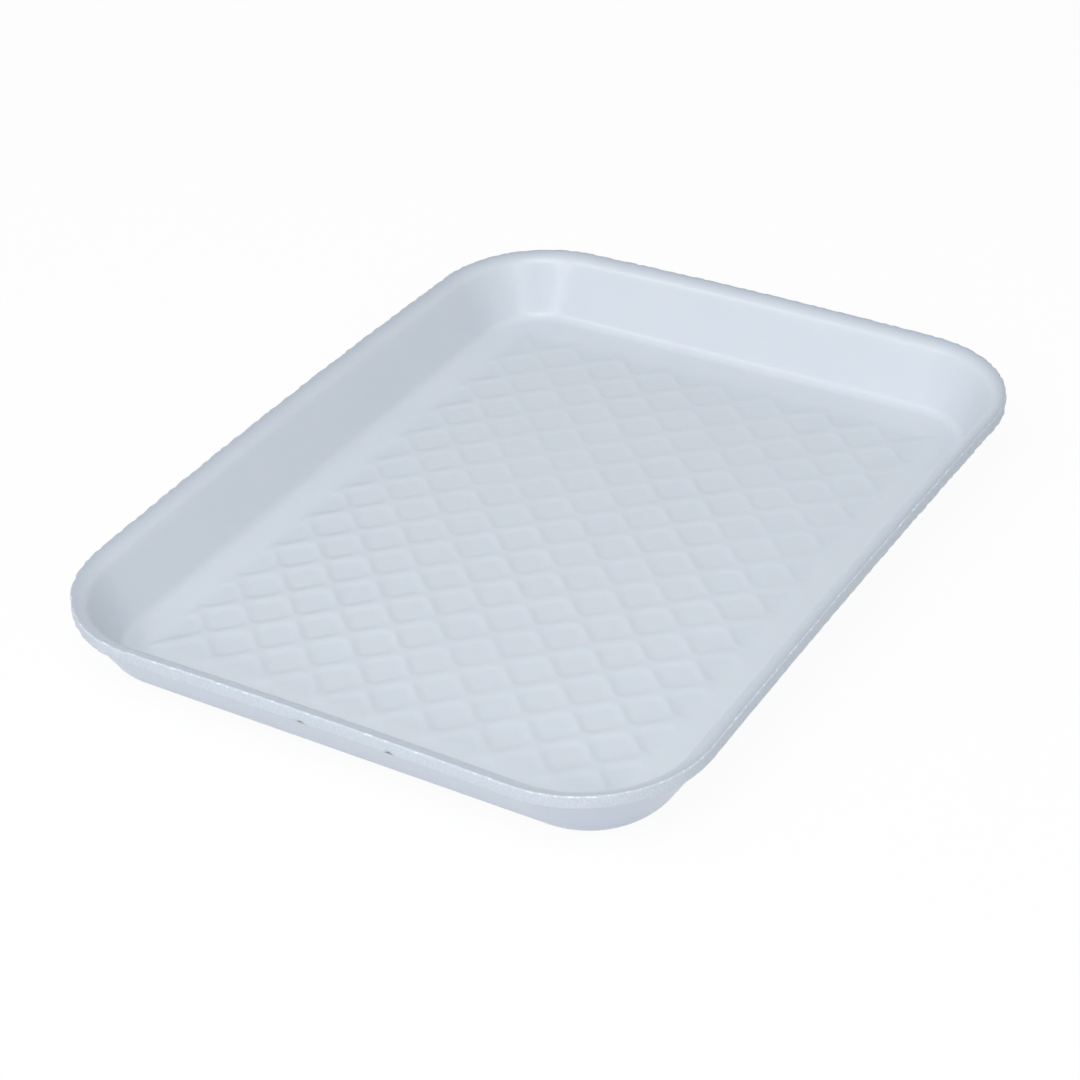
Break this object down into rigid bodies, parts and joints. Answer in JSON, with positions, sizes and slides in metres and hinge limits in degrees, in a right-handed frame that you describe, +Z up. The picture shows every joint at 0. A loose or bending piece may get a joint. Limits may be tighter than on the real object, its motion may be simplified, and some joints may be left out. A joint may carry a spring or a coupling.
{
  "type": "foam tray",
  "caption": "Shallow rectangular foam tray with rounded corners, a flared wall, a rolled lip and a floor with raised diagonal ridges.",
  "frame": {"origin": "centre of the tray, level with the flat band that it stands on", "axes": "+X along the long side, +Y along the short side, +Z up out of the open top"},
  "size_m": [0.235, 0.18, 0.0219],
  "materials": {
    "foam": "smooth closed-cell polystyrene foam, soft satin skin"
  },
  "bodies": {
    "root": {"tray": "foam"}
  },
  "joints": []
}
